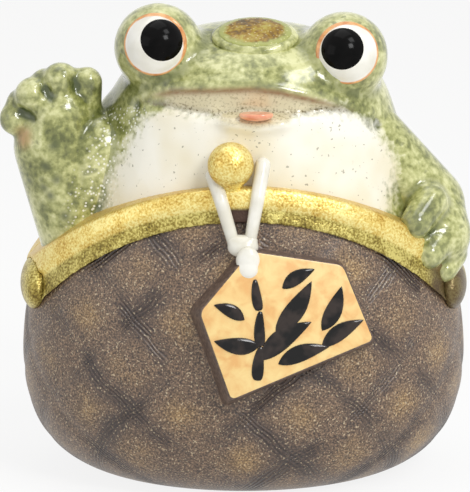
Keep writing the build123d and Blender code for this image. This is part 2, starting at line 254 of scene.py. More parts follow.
def add_limb(bm, start, end, start_diameter, end_diameter):
    """A tapered roll of clay with round ends."""
    start, end = Vector(start), Vector(end)
    add_ball(bm, start, start_diameter, start_diameter, start_diameter)
    add_ball(bm, end, end_diameter, end_diameter, end_diameter)
    upright = (end - start).to_track_quat("Z", "Y").to_matrix().to_4x4()
    bmesh.ops.create_cone(
        bm, cap_ends=True, segments=40, radius1=start_diameter / 2, radius2=end_diameter / 2,
        depth=(end - start).length, matrix=Matrix.Translation((start + end) / 2) @ upright,
    )


def rub(bm, rounds):
    """Smooths the skin a little, as many times as rounds says."""
    axes = {"use_axis_x": True, "use_axis_y": True, "use_axis_z": True}
    for _ in range(rounds):
        bmesh.ops.smooth_vert(bm, verts=bm.verts, factor=0.5, **axes)


def modified(bm, kind, **settings):
    """The mesh as a modifier leaves it."""
    mesh = bpy.data.meshes.new("lump")
    bm.to_mesh(mesh)
    bm.free()
    lump = bpy.data.objects.new("lump", mesh)
    scene.collection.objects.link(lump)
    change = lump.modifiers.new("change", kind)
    for name, value in settings.items():
        setattr(change, name, value)
    seen = lump.evaluated_get(bpy.context.evaluated_depsgraph_get())
    result = bmesh.new()
    result.from_mesh(seen.to_mesh())
    seen.to_mesh_clear()
    bpy.data.objects.remove(lump)
    bpy.data.meshes.remove(mesh)
    return result


def fused(bm, voxel, rounds):
    """All lumps as one skin, rubbed smooth."""
    skin = modified(bm, "REMESH", mode="VOXEL", voxel_size=voxel)
    rub(skin, rounds)
    return skin


def carved(bm, cutter, operation):
    """The mesh after a cut with another one."""
    mesh = bpy.data.meshes.new("cutter")
    cutter.to_mesh(mesh)
    cutter.free()
    tool = bpy.data.objects.new("cutter", mesh)
    scene.collection.objects.link(tool)
    result = modified(bm, "BOOLEAN", object=tool, operation=operation, solver="EXACT")
    bpy.data.objects.remove(tool)
    return result


print("clay helpers ready")

# %% [markdown]
# ## Turned forms
# For the frog and the purse an outline, which a few points pull into one smooth curve, is spun about the
# upright axis. The purse's rim follows a large round, made here as a roll from front to back, because
# both pieces are cut with it.

# %% Turned forms
RIM_HEIGHT = 70.0
ARCH_RADIUS = 64.52
ARCH_MIDDLE = RIM_HEIGHT - ARCH_RADIUS


def pulled_curve(points, share):
    """A point on the curve that a few points pull."""
    points = [Vector(point) for point in points]
    while len(points) > 1:
        points = [start.lerp(end, share) for start, end in zip(points, points[1:])]
    return points[0]


def outline(pull_shares, half_width, foot, rise, count):
    """The outline of a turned form, from the axis at its foot up to the axis at its top."""
    pulls = [(half_width * out, foot + rise * up) for out, up in pull_shares]
    side = [tuple(pulled_curve(pulls, n / count)) for n in range(count + 1)]
    foot_middle, top_middle = (0, side[0][1]), (0, side[-1][1])
    return [foot_middle] + side + ([top_middle] if side[-1][0] > 0.01 else [])


def spun(profile, turns=160):
    """A closed skin from points (out, up) turned about the Z axis."""
    bm = bmesh.new()
    verts = [bm.verts.new((out, 0, up)) for out, up in profile]
    edges = [bm.edges.new(pair) for pair in zip(verts, verts[1:])]
    bmesh.ops.spin(bm, geom=verts + edges, axis=(0, 0, 1), angle=2 * pi, steps=turns, use_merge=True)
    bmesh.ops.remove_doubles(bm, verts=bm.verts, dist=0.001)
    bmesh.ops.recalc_face_normals(bm, faces=bm.faces)
    return bm


def arch(grow):
    """The round that the purse's rim follows, as a long roll from front to back."""
    bm = bmesh.new()
    lay = Matrix.Translation((0, 0, ARCH_MIDDLE)) @ Matrix.Rotation(radians(90), 4, "X")
    radius = ARCH_RADIUS + grow
    bmesh.ops.create_cone(
        bm, cap_ends=True, segments=256, radius1=radius, radius2=radius, depth=160, matrix=lay
    )
    return bm


print("middle of the arch in mm:", round(ARCH_MIDDLE, 2))

# %% [markdown]
# ## Frog: head and body
# The head and body are one turned form, drawn up from the purse, narrowed to a neck and swollen to a flat
# head. It is flattened and leaned towards the front by one matrix, and its lower end is cut to the
# purse's arch. The eye mounds, the brow and the roots of the arms are then fused to it, so that the
# joints are as soft as on the fired piece.

# %% Frog body
BODY_PULLS = ((1.0, 0.0), (1.0, 0.25), (0.46, 0.62), (1.02, 1.0), (0.0, 1.0))
BODY_WIDTH = 99
BODY_DEPTH = 79
BODY_FOOT = 38.0
BODY_RISE = 68.4
BODY_SETBACK = 3
HEAD_SHIFT = 2.0
HEAD_LEAN = 9
ARCH_LAP = 1.2
body = spun(outline(BODY_PULLS, BODY_WIDTH / 2, BODY_FOOT, BODY_RISE, 64))
lean = Matrix.Identity(4)
lean[0][2], lean[0][3] = HEAD_SHIFT / BODY_RISE, -HEAD_SHIFT / BODY_RISE * BODY_FOOT
lean[1][1] = BODY_DEPTH / BODY_WIDTH
lean[1][2], lean[1][3] = -HEAD_LEAN / BODY_RISE, HEAD_LEAN / BODY_RISE * BODY_FOOT + BODY_SETBACK
bmesh.ops.transform(body, matrix=lean, verts=body.verts)
body = carved(body, arch(-ARCH_LAP), "DIFFERENCE")

EYE_MIDDLES = {-1: Vector((HEAD_SHIFT - 21.8, -14, 103.6)), 1: Vector((HEAD_SHIFT + 21.2, -14, 101.6))}
BODY_LIMBS = (
    ((-36.8, -8, 55), (-43.0, -9.5, 74), 19.0, 18.4),
    ((-36.8, -8, 55), (-33.6, -8.2, 78.2), 19.0, 19.6),
    ((27.4, -9, 83.4), (42.0, -6, 65.2), 16.6, 18.8),
)
for middle in EYE_MIDDLES.values():
    add_ball(body, middle, 21.0, 21.0, 21.0)
add_ball(body, (HEAD_SHIFT, -4, 98.8), 50, 36, 19.4)
add_ball(body, (-26.5, -4, 84.5), 17.4, 17.4, 17.4)
for limb in BODY_LIMBS:
    add_limb(body, *limb)
body = fused(body, 0.75, 22)
print("body vertices:", len(body.verts))

# %% [markdown]
# ## Frog: face
# The mouth is pressed into the clay: a band slopes in under the upper lip to a dark seam, and the middle
# of the lower lip stands out again as a small pouting ridge. Vertices are moved straight back or forward
# by how far they lie below the lip's line, which is what a modelling tool drawn along the lip would do.
# Two small dents follow, one on each side of the jaw.

# %% Face
UPPER_LIP = ((-23.5, 92.4), (-21.5, 93.5), (-15.7, 95.0), (-7.7, 95.6), (1.5, 96.1), (8.3, 95.3),
             (14.1, 93.8), (19.8, 92.2), (24.9, 90.4))
SEAM = ((-23.5, 92.2), (-16.8, 91.8), (-6.5, 90.6), (1.5, 91.6), (10.6, 90.5), (17.5, 91.2), (24.9, 90.2))
LOWER_LIP = ((-7.0, 90.6), (-3.5, 88.7), (2.6, 87.4), (8.8, 88.5), (12.9, 90.3))
DENTS = (((31.4, -17.5, 86.2), 2.6, 1.1), ((-24.8, -19.8, 91.0), 2.2, 0.7))


def ease(values, low, high):
    """Rises smoothly from nought at low to one at high."""
    share = np.clip((values - low) / (high - low), 0, 1)
    return share * share * (3 - 2 * share)


def off_line(spots, line):
    """How far each vertex lies from a line of points (x, z), seen from in front."""
    flat = spots[:, [0, 2]]
    nearest = np.full(len(flat), 1e9)
    for start, end in zip(np.array(line[:-1], float), np.array(line[1:], float)):
        run = end - start
        share = np.clip(((flat - start) @ run) / (run @ run), 0, 1)
        nearest = np.minimum(nearest, np.linalg.norm(flat - start - share[:, None] * run, axis=1))
    return nearest


def height_on(line, x):
    """How high a line of points (x, z) runs at each x."""
    return np.interp(x, [point[0] for point in line], [point[1] for point in line])


def press_face(bm):
    """Pushes the mouth band in and the lips out."""
    spots = np.array([vert.co for vert in bm.verts])
    front = ease(-spots[:, 1], 12, 17)
    x, z = spots[:, 0], spots[:, 2]
    across = ease(x, -25.0, -13) * ease(-x, -27.5, -17)
    below_lip = height_on(UPPER_LIP, x) - z
    band = np.maximum(height_on(UPPER_LIP, x) - height_on(SEAM, x), 0.4)
    depth = np.clip(below_lip / band, 0, 1)
    above_seam = 1 - ease(below_lip - band, 0.0, 2.2)
    push = 2.0 * across * depth * above_seam
    push -= 0.8 * across * np.exp(-((below_lip + 1.3) / 1.6) ** 2)
    push -= 1.1 * np.exp(-((off_line(spots, LOWER_LIP) / 1.5) ** 2))
    push -= 1.0 * ease(-off_line(spots, ((-3, 89.3), (8.5, 89.3))), -4.0, 0) * (below_lip > band)
    for vert, move in zip(bm.verts, push * front):
        vert.co.y += move
    return (push * front).min(), (push * front).max()


out, back = press_face(body)
rub(body, 2)
for dent, radius, depth in DENTS:
    for vert in body.verts:
        near = (vert.co - Vector(dent)).length / radius
        if near < 2:
            vert.co -= vert.normal * depth * np.exp(-near * near * 2)
print(f"lips out by {-out:.2f} mm, mouth in by {back:.2f} mm")

# %% [markdown]
# ## Frog glaze: green
# The green is sprayed in clouds over a cream ground: pale where the glaze is thin on a rise, dark where
# it has run into a crease, with millimetre flecks all over. Numbers that the mesh carries at its vertices
# say where the creases, the dark spots, a painted shade on the left cheek and the bare places are, so the
# finish keeps to the modelled shape.

# %% Green
def marked(tree, name):
    """A number that the mesh itself carries at each vertex."""
    return add_node(tree, "ShaderNodeAttribute", attribute_name=name).outputs["Fac"]


glaze, tree, shader, place = new_finish("frog_glaze", Roughness=0.16, Coat_Weight=0.35, Coat_Roughness=0.06)
cloud = clouds(tree, place, 9, 3, 0.6)
fleck = clouds(tree, place, 1.5, 3)
tint = figure(tree, "ADD", times(tree, cloud, 0.55), times(tree, fleck, 0.45))
green = steps(
    tree, tint, (0.34, colour(86, 92, 42)), (0.44, colour(136, 140, 77)), (0.51, colour(177, 179, 114)),
    (0.61, colour(217, 217, 159)),
)
hollow = marked(tree, "hollow")
pooled = times(tree, hollow, 26.0, clamp=True)
pooled = times(tree, pooled, figure(tree, "ADD", fleck, 0.45), clamp=True)
green = blend(tree, pooled, green, colour(72, 82, 34))
thin = times(tree, hollow, -9.0, clamp=True)
green = blend(tree, times(tree, thin, 0.55), green, colour(224, 226, 182))
olive = steps(tree, clouds(tree, place, 3.2, 1, 0.3), (0.30, WHITE), (0.36, BLACK))
green = blend(tree, times(tree, olive, 0.55), green, colour(92, 100, 52))
# Dark spots of glaze; on the left cheek the same mark is a painted shade.
dark_spot_and_painted_shade = times(tree, marked(tree, "dark_spot_and_painted_shade"), figure(tree, "ADD", fleck, 0.5), clamp=True)
green = blend(tree, dark_spot_and_painted_shade, green, colour(74, 84, 52))
bare = times(tree, marked(tree, "bare"), figure(tree, "ADD", fleck, 0.25), clamp=True)
green = blend(tree, bare, green, colour(190, 146, 92))
print("nodes in the green:", len(tree.nodes))

# %% [markdown]
# ## Frog glaze: throat and mouth
# The throat is left cream with a few specks, and its edge is broken up by the flecks of the green. The
# mouth band is beige under a brown brushed line, with a dark seam below it. Small bright grains, one in
# each cell of a Voronoi pattern, lie along the throat's left edge: partly crystals where the glaze was
# dusted, partly painted glints of light. Last comes a slow ripple, as thick glaze has.

# %% Throat and mouth
def grains(tree, place, size, reach):
    """Round grains, one in each cell as large as size, in millimetres: one in a grain, nought outside."""
    sockets = {"Vector": place, "Scale": 1 / (size * MM)}
    off = add_node(tree, "ShaderNodeTexVoronoi", sockets).outputs["Distance"]
    return steps(tree, off, (reach * 0.7, WHITE), (reach, BLACK))


speck = steps(tree, clouds(tree, place, 0.9, 1), (0.255, WHITE), (0.29, BLACK))
wash = clouds(tree, place, 14, 2)
cream = steps(tree, wash, (0.35, colour(240, 232, 206)), (0.60, colour(250, 247, 234)))
cream = blend(tree, times(tree, speck, 0.6), cream, colour(120, 112, 84))
ragged = times(tree, figure(tree, "SUBTRACT", fleck, 0.5), 1.1)
broken = figure(tree, "ADD", marked(tree, "throat"), ragged)
skin = blend(tree, steps(tree, broken, (0.22, BLACK), (0.80, WHITE)), green, cream)

grain = steps(tree, clouds(tree, place, 0.6, 2), (0.34, WHITE), (0.48, BLACK))
beige = blend(tree, times(tree, grain, 0.45), colour(219, 208, 172), colour(140, 122, 88))
skin = blend(tree, marked(tree, "band"), skin, beige)
brushed = times(tree, marked(tree, "lip"), figure(tree, "ADD", fleck, 0.35), clamp=True)
skin = blend(tree, brushed, skin, colour(142, 104, 64))
seam = times(tree, marked(tree, "seam"), figure(tree, "ADD", grain, 0.35), clamp=True)
skin = blend(tree, seam, skin, colour(116, 104, 70))
# Bright grains: partly crystals in the glaze, partly painted glints of light.
crystals_and_painted_glints = times(tree, grains(tree, place, 1.0, 0.32), marked(tree, "crystal_and_painted_glint_zone"))
skin = blend(tree, crystals_and_painted_glints, skin, colour(250, 249, 236))
paint(tree, shader, skin)
ripple = figure(tree, "ADD", clouds(tree, place, 5, 2), times(tree, fleck, 0.35))
emboss(tree, shader, ripple, 0.22, 0.3)
print("nodes in the whole glaze:", len(tree.nodes))

# %% [markdown]
# ## Publishing a piece
# Every finished piece is turned into metres, given its finish and told which body it rides on, and the
# nodes of the imported model that it stands for are hidden. Then numbers are written on its vertices for the
# finish to read, such as how deep each one lies in a crease.

# %% Publishing helpers
def publish(name, bm, slot, finish, *nodes):
    """The finished piece in metres, with its finish, riding on the one body and standing for CAD nodes."""
    bmesh.ops.scale(bm, vec=(MM, MM, MM), verts=bm.verts)
    for face in bm.faces:
        face.smooth = True
    mesh = bpy.data.meshes.new(name)
    bm.to_mesh(mesh)
    bm.free()
    mesh.materials.append(finish)
    piece = bpy.data.objects.new(name, mesh)
    scene.collection.objects.link(piece)
    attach(piece, "root")
    if nodes:
        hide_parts(*nodes)
    triangles = sum(len(face.vertices) - 2 for face in mesh.polygons)
    print(f"{name}: {triangles} triangles")
    return piece


def places(piece):
    """Where a piece's vertices are, in millimetres."""
    spots = np.empty(len(piece.data.vertices) * 3)
    piece.data.vertices.foreach_get("co", spots)
    return spots.reshape(-1, 3) / MM


def mark(piece, name, values):
    """Writes a number on each vertex, for a finish to read."""
    layer = piece.data.attributes.new(name, "FLOAT", "POINT")
    layer.data.foreach_set("value", np.asarray(values, dtype=np.float32))


def mark_hollows(piece, rounds=3):
    """Marks how far each vertex lies in a crease, where glaze runs together and fires darker."""
    mesh = piece.data
    spots = places(piece)
    facing = np.empty(len(spots) * 3)
    mesh.vertices.foreach_get("normal", facing)
    ends = np.empty(len(mesh.edges) * 2, dtype=int)
    mesh.edges.foreach_get("vertices", ends)
    ends = ends.reshape(-1, 2)
    count = np.bincount(ends.ravel(), minlength=len(spots))[:, None]

    def neighbours(values):
        total = np.zeros_like(values)
        np.add.at(total, ends[:, 0], values[ends[:, 1]])
        np.add.at(total, ends[:, 1], values[ends[:, 0]])
        return total / count

    depth = ((neighbours(spots) - spots) * facing.reshape(-1, 3)).sum(axis=1, keepdims=True)
    for _ in range(rounds):
        depth = (depth + neighbours(depth)) / 2
    mark(piece, "hollow", depth[:, 0])
    print(f"  creases from {depth.min():.3f} to {depth.max():.3f} mm")


frog_skin = publish("frog_skin", body, "frog_glaze", glaze, "frog_body")
mark_hollows(frog_skin)

# %% [markdown]
# ## Frog: where the colours lie
# The throat runs down over the arms as well, so its two edges are a function that all three pieces share.
# The mouth band, the lip, the seam and the painted shade on the left cheek belong to the frog alone.

# %% Regions
LEFT_EDGE = ((60, -33), (69, -31.9), (75.8, -30.5), (81.1, -27.4), (87.6, -24.0), (89.3, -22.0), (91, -17.0))
RIGHT_EDGE = ((60, 34), (65.9, 33.6), (70.6, 34.6), (76.4, 35.9), (83.6, 32.1), (87.6, 28.7), (91, 22.1))
POUT = ((-4, 90.3), (2.6, 89.2), (9.6, 90.3))


def mark_throat(piece):
    """Marks the cream throat, and the bright grains along its left edge: partly dusted crystals, partly
    painted glints.
    """
    x, y, z = places(piece).T
    front = ease(-y, 4, 10)
    within = np.minimum(x - height_on(LEFT_EDGE, z), height_on(RIGHT_EDGE, z) - x)
    inside = np.minimum(within, height_on(SEAM, x) + 0.3 - z)
    mark(piece, "throat", front * ease(inside, -4.5, 4.5))
    below = ease(height_on(SEAM, x) - z, 0.5, 3)
    # Where the bright grains lie: partly crystals, partly painted glints of light.
    mark(piece, "crystal_and_painted_glint_zone", 0.8 * front * below * ease(-np.abs(inside + 3.0), -8, -2) * ease(-x, -10, 10))
    print("  throat vertices:", int((inside > 0).sum()))


mark_throat(frog_skin)
spots = places(frog_skin)
x, y, z = spots.T
front = ease(-y, 4, 10)
band = ease(height_on(UPPER_LIP, x) - z, -0.3, 0.5) * ease(z - height_on(SEAM, x), -0.6, 0.3)
band *= ease(x, -22, -14) * ease(-x, -24, -17)
pout = ease(-off_line(spots, POUT), -2.2, -0.8)
mark(frog_skin, "band", front * np.maximum(band, pout))
# A painted shade on the left cheek, the side away from the main lamp.
mark(frog_skin, "dark_spot_and_painted_shade", 0.45 * front * np.exp(-(((x + 31) / 6) ** 2) - ((z - 94) / 8) ** 2))
fade = ease(x, -24, -16) * ease(-x, -26, -14)
mark(frog_skin, "lip", front * fade * np.exp(-((off_line(spots, UPPER_LIP) / 0.75) ** 2)))
mark(frog_skin, "seam", front * np.exp(-((off_line(spots, SEAM) / 0.45) ** 2)))

# %% [markdown]
# ## Raised arm
# One arm is held up with an open hand. It is rolled from tapered limbs, with a ball of clay for every
# finger tip and a web between the fingers, then fused and rubbed less than the body, so that the fingers
# keep their knobs. Creases are pressed in under the finger tips and fill with dark glaze.

# %% Raised arm
PALM = (-43.2, -9.8, 87.0)
RAISED_LIMBS = (
    ((-37.2, -8, 54), (-43.9, -9.6, 79.6), 19.6, 20.2),
    ((-37.2, -8, 54), (-34.2, -8.4, 78.6), 19.6, 20.2),
    ((-43.9, -9.6, 79.6), PALM, 20.2, 17.8),
    ((-37.4, -10.2, 88.6), (-36.5, -10.8, 95.0), 8.6, 7.2),
)
WEBS = (((-51.4, -10, 89.4), 8.6), ((-46.0, -10, 93.8), 8.8), ((-39.6, -10, 94.0), 8.6))
RAISED_FINGERS = (
    ((-53.2, -11.4, 86.4), 8.0), ((-49.0, -13.0, 92.2), 8.8),
    ((-42.6, -12.6, 95.6), 8.8), ((-36.5, -11.2, 95.0), 7.4),
)
CREASES = (((-51.6, 88.4), (-49.2, 87.4)), ((-46.2, 94.0), (-44.8, 92.4)), ((-39.3, 96.4), (-38.9, 94.6)))
RAISED_DOTS = (
    (-46.6, -18.1, 71.2), (-45.0, -18.4, 69.4), (-43.5, -19.3, 73.4), (-46.0, -19.2, 76.4),
    (-44.1, -19.6, 81.4), (-49.6, -15.4, 72.6), (-41.6, -18.4, 64.6), (-47.5, -17.5, 66.5),
)
BARE_PALM = (-51.2, -16.1, 82.7)


def in_crease(spots):
    """One in the creases under the finger tips, falling off to nought beside them."""
    near = np.min([off_line(spots, crease) for crease in CREASES], axis=0)
    return np.exp(-((near / 1.25) ** 2)) * ease(-spots[:, 1], 11, 14)


def off_dots(spots, dots):
    """How far each vertex lies from the nearest of some dots."""
    return np.min([np.linalg.norm(spots - np.array(dot), axis=1) for dot in dots], axis=0)


raised = bmesh.new()
for limb in RAISED_LIMBS:
    add_limb(raised, *limb)
for web, thick in WEBS:
    add_ball(raised, web, thick, thick, thick)
for tip, thick in RAISED_FINGERS:
    add_limb(raised, PALM, tip, 10.0, thick * 0.92)
    add_ball(raised, tip, thick, thick, thick)
raised = fused(raised, 0.55, 9)
raised.normal_update()
for vert, share in zip(raised.verts, in_crease(np.array([vert.co for vert in raised.verts]))):
    vert.co -= vert.normal * 0.8 * share
raised_arm = publish("raised_arm_skin", raised, "frog_glaze", glaze, "raised_arm")
mark_hollows(raised_arm, 4)

spots = places(raised_arm)
dotted = 0.8 * np.exp(-((off_dots(spots, RAISED_DOTS) / 1.2) ** 2))
mark(raised_arm, "dark_spot_and_painted_shade", np.maximum(dotted, 0.6 * in_crease(spots)))
mark(raised_arm, "bare", ease(-off_dots(spots, (BARE_PALM,)), -4.0, -0.6))
mark_throat(raised_arm)

# %% [markdown]
# ## Resting arm
# The other arm hangs from the shoulder, bends at the elbow and lays its fingers on the clasp. It is made
# in the same way, from two thick limbs and three tapered fingers.

# %% Resting arm
RESTING_LIMBS = (
    ((27.4, -9, 83.8), (42.5, -6, 64.6), 16.8, 20.0),
    ((42.5, -6, 64.6), (45.4, -11, 59.0), 20.0, 16.4),
)
RESTING_FINGERS = (
    ((43.6, -15.6, 67.6), (39.9, -21.0, 63.4), 8.6),
    ((47.6, -13.4, 60.0), (43.2, -19.4, 55.8), 8.4),
    ((49.6, -10.8, 54.0), (47.2, -15.0, 50.8), 6.6),
)
RESTING_DOTS = (
    (49.5, -14, 58), (47, -18, 55), (50.5, -10, 63), (47.5, -13.5, 66), (44.5, -17.5, 52), (51, -9, 57),
    (49, -9, 69),
)
resting = bmesh.new()
for limb in RESTING_LIMBS:
    add_limb(resting, *limb)
for knuckle, tip, thick in RESTING_FINGERS:
    add_limb(resting, knuckle, tip, thick, thick * 0.88)
resting = fused(resting, 0.55, 10)
resting_arm = publish("resting_arm_skin", resting, "frog_glaze", glaze, "resting_arm")
mark_hollows(resting_arm, 4)
mark(resting_arm, "dark_spot_and_painted_shade", 0.7 * np.exp(-((off_dots(places(resting_arm), RESTING_DOTS) / 1.3) ** 2)))
mark_throat(resting_arm)

# %% [markdown]
# ## Eyes: finishes
# The white has a thin orange line brushed round it, kept to the place that the mesh marks as its rim. The
# black is nearly even: a soft gloss and a hint of cloud keep it from looking like a hole.

# %% Eye finishes
white, tree, shader, place = new_finish("eye_white", Roughness=0.10, Coat_Weight=0.5, Coat_Roughness=0.04)
ground = steps(tree, clouds(tree, place, 6, 2), (0.35, colour(232, 229, 216)), (0.65, colour(246, 244, 236)))
uneven = figure(tree, "ADD", clouds(tree, place, 1.2, 2), 0.62)
brush = times(tree, marked(tree, "rim"), uneven, clamp=True)
orange = steps(tree, clouds(tree, place, 2, 2), (0.35, colour(206, 132, 66)), (0.65, colour(236, 178, 110)))
paint(tree, shader, blend(tree, brush, ground, orange))

black, tree, shader, place = new_finish("pupil_black", Roughness=0.14, Specular_IOR_Level=0.08)
soot = steps(tree, clouds(tree, place, 3, 2), (0.35, colour(4, 4, 4)), (0.65, colour(12, 11, 11)))
paint(tree, shader, soot)
print("finishes:", white.name, black.name)

# %% [markdown]
# ## Eyes: balls and pupils
# An eye is a white ball set in its mound, and a black disc laid on it as a dome that looks up and
# inwards. Both are turned forms, so half their outline is spun about the line of sight. The orange line
# is a low bead on the ball's own outline, because the brushed slip stands up a little.

# %% Eyes
BALL_RADIUS = 8.4
BALL_STAND_OUT = 1.0
MOUND_RADIUS = 10.3
GAZE_OUT = 4
GAZE_UP = 14
RIM_ANGLE = radians(56.0)
RIM_BEAD = 0.28
RIM_HALF_DEGREES = 2.6
PUPIL_RADIUS = 4.9
PUPIL_STAND_OUT = 0.7
PUPIL_SEAT_DEPTH = 0.8
PUPIL_TURN_IN = 13
PUPIL_TURN_UP = 6
PUPIL_SHIFT = 1.5


def towards(turn, up):
    """A direction to the front, turned to the right and raised, in degrees."""
    turn, up = radians(turn), radians(up)
    return Vector((sin(turn) * cos(up), -cos(turn) * cos(up), sin(up)))


def set_facing(bm, middle, facing):
    """Turns a form that faces up so that it faces another way, and puts it in its place."""
    turn = facing.to_track_quat("Z", "Y").to_matrix().to_4x4()
    bmesh.ops.transform(bm, matrix=Matrix.Translation(middle) @ turn, verts=bm.verts)


def eyeball_outline():
    """From the back of the ball to its front, with a bead at the rim."""
    points = []
    for n in range(97):
        angle = pi * (1 - n / 96)
        bead = RIM_BEAD * np.exp(-(((angle - RIM_ANGLE) / radians(RIM_HALF_DEGREES)) ** 2))
        points.append(((BALL_RADIUS + bead) * sin(angle), (BALL_RADIUS + bead) * cos(angle)))
    return [(0, points[0][1])] + points[1:-1] + [(0, points[-1][1])]


def pupil_outline():
    """From the middle of the flat back, round the edge, over the dome to its top."""
    seat = sqrt(BALL_RADIUS**2 - PUPIL_RADIUS**2)
    dome = BALL_RADIUS + PUPIL_STAND_OUT - seat
    radius = (PUPIL_RADIUS**2 + dome**2) / (2 * dome)
    top = asin(PUPIL_RADIUS / radius)
    angles = [top * (1 - n / 24) for n in range(25)]
    cap = [(radius * sin(angle), seat + dome - radius + radius * cos(angle)) for angle in angles]
    back = seat - PUPIL_SEAT_DEPTH
    edge = [(0, back), (PUPIL_RADIUS - 0.25, back), (PUPIL_RADIUS + 0.05, seat - 0.3)]
    return edge + cap[:-1] + [(0, cap[-1][1])]


for side, label in ((-1, "left"), (1, "right")):
    gaze = towards(side * GAZE_OUT, GAZE_UP)
    middle = EYE_MIDDLES[side] + gaze * (MOUND_RADIUS + BALL_STAND_OUT - BALL_RADIUS)
    ball = spun(eyeball_outline(), 96)
    set_facing(ball, middle, gaze)
    eyeball = publish(f"eyeball_{label}_skin", ball, "eye_white", white, f"eyeball_{label}")
    ways = places(eyeball) - np.array(middle)
    angle = np.arccos(np.clip(ways @ np.array(gaze) / np.linalg.norm(ways, axis=1), -1, 1))
    upper_inner = ease(ways @ np.array((-0.6 * side, 0, 0.8)), 0, 8)
    half_line = np.radians(RIM_HALF_DEGREES * (1 + upper_inner))
    rim_angle = RIM_ANGLE - np.radians(2.2 * upper_inner)
    mark(eyeball, "rim", ease(half_line - np.abs(angle - rim_angle), -0.012, 0.02))

    look = towards(side * (GAZE_OUT - PUPIL_TURN_IN) + PUPIL_SHIFT, GAZE_UP + PUPIL_TURN_UP)
    disc = spun(pupil_outline(), 72)
    set_facing(disc, middle, look)
    publish(f"pupil_{label}_skin", disc, "pupil_black", black, f"pupil_{label}")

# %% [markdown]
# ## Tongue
# The tip of a coral tongue lies on the lower lip. It is an egg of clay cut flat where the upper lip
# presses on it, and the voxel remesh rounds the cut edge.

# %% Tongue
def cut_flat(bm, height, way):
    """Takes off what lies above a height, or below it where way is -1, and closes the cut."""
    cut = bmesh.ops.bisect_plane(
        bm, geom=bm.verts[:] + bm.edges[:] + bm.faces[:], plane_co=(0, 0, height), plane_no=(0, 0, way),
        clear_outer=True,
    )
    edges = [part for part in cut["geom_cut"] if isinstance(part, bmesh.types.BMEdge)]
    bmesh.ops.edgenet_fill(bm, edges=edges)


tongue = bmesh.new()
add_ball(tongue, (2.8, -31.6, 90.7), 8.0, 5.4, 2.8)
cut_flat(tongue, 91.2, 1)
tongue = fused(tongue, 0.22, 4)
coral, tree, shader, place = new_finish("tongue_coral", Roughness=0.14, Coat_Weight=0.4, Coat_Roughness=0.05)
flesh = steps(tree, clouds(tree, place, 2.2, 2), (0.32, colour(226, 128, 92)), (0.66, colour(246, 184, 146)))
paint(tree, shader, flesh)
publish("tongue_skin", tongue, "tongue_coral", coral, "tongue")

# %% [markdown]
# ## Crown pad
# An oval pad with a thick rounded rim lies on the head. It is a spun dish, drawn out to an oval and
# tilted.

# %% Crown pad
crown_place = Matrix.Translation((HEAD_SHIFT + 0.6, -15, 106.6)) @ Matrix.Rotation(radians(22), 4, "X")
PAD_OVAL = 17 / 21.6
PAD_OUTLINE = (
    (0, -2.6), (7.0, -2.5), (9.2, -1.7), (10.2, -0.6), (10.0, 0.1), (9.2, 0.7), (8.2, 0.95), (7.2, 1.0),
    (0, 0.9),
)
dish = spun(PAD_OUTLINE, 96)
bmesh.ops.transform(dish, matrix=crown_place @ Matrix.Diagonal((1, PAD_OVAL, 1, 1)), verts=dish.verts)
dish = fused(dish, 0.35, 5)
pad = publish("crown_pad_skin", dish, "frog_glaze", glaze, "crown_pad")
mark_hollows(pad, 3)

# %% [markdown]
# ## Crown pool
# Amber glaze has pooled in the pad's dished top. It is a spun lens on the same tilt, deep brown in the
# middle, thin and greenish towards its edge, with a few bright grains in it: partly crystals, partly
# painted glints of light.

# %% Crown pool
POOL_OVAL = 14 / 17.6
POOL_OUTLINE = ((0, 0.2), (6.0, 0.2), (8.2, 0.5), (8.8, 0.8), (8.4, 1.05), (6.9, 1.4), (3.5, 1.8), (0, 1.95))
lens = spun(POOL_OUTLINE, 96)
bmesh.ops.transform(lens, matrix=crown_place @ Matrix.Diagonal((1, POOL_OVAL, 1, 1)), verts=lens.verts)
lens = fused(lens, 0.3, 4)

amber, tree, shader, place = new_finish(
    "amber_pool", Roughness=0.10, Specular_IOR_Level=0.28, Coat_Weight=0.10, Coat_Roughness=0.03
)
deep = figure(tree, "ADD", times(tree, clouds(tree, place, 4.5, 3), 0.6),
              times(tree, clouds(tree, place, 0.9, 2), 0.4))
pooled = steps(
    tree, deep, (0.36, colour(74, 60, 10)), (0.45, colour(120, 88, 14)), (0.53, colour(156, 122, 28)),
    (0.64, colour(180, 164, 70)),
)
thin = figure(tree, "ADD", marked(tree, "edge"), figure(tree, "SUBTRACT", clouds(tree, place, 1.8, 3), 0.5))
pooled = blend(tree, steps(tree, thin, (0.35, BLACK), (0.75, WHITE)), pooled, colour(168, 172, 100))
# Bright grains: partly crystals in the amber, partly painted glints of light.
pool_crystal_and_painted_glint = times(tree, grains(tree, place, 1.0, 0.24), 0.4)
paint(tree, shader, blend(tree, pool_crystal_and_painted_glint, pooled, colour(240, 230, 180)))
emboss(tree, shader, clouds(tree, place, 1.6, 1), 0.5, 0.4)

pool = publish("crown_pool_skin", lens, "amber_pool", amber, "crown_glaze_pool")
level = np.array(crown_place.inverted())
flat = places(pool) @ level[:3, :3].T + level[:3, 3]
mark(pool, "edge", ease(np.hypot(flat[:, 0], flat[:, 1] / POOL_OVAL), 5.0, 8.6))

# %% [markdown]
# ## Purse: pouch
# The purse is a pouch spun from one pulled outline and flattened front to back, with its foot cut flat,
# its rim cut to an arch and a drain hole in its foot. A tool was drawn over the soft clay in slanting
# bundles, which quilts it into lozenges: the grooves between them are pressed into the mesh here.

# %% Pouch
PURSE_PULLS = ((0.55, 0.0), (1.075, 0.056), (1.119, 0.381), (0.894, 0.836), (0.811, 1.114))
PURSE_WIDTH = 106
PURSE_FLATTEN = 83 / PURSE_WIDTH
FOOT_GRIND = 0.4
DRAIN_RADIUS = 6
LOZENGES = 12
LOZENGE_RISE = 22.0
LOZENGE_WIDTH = 16
GROOVE_WIDTH = 1.7
GROOVE_DEPTH = 0.25


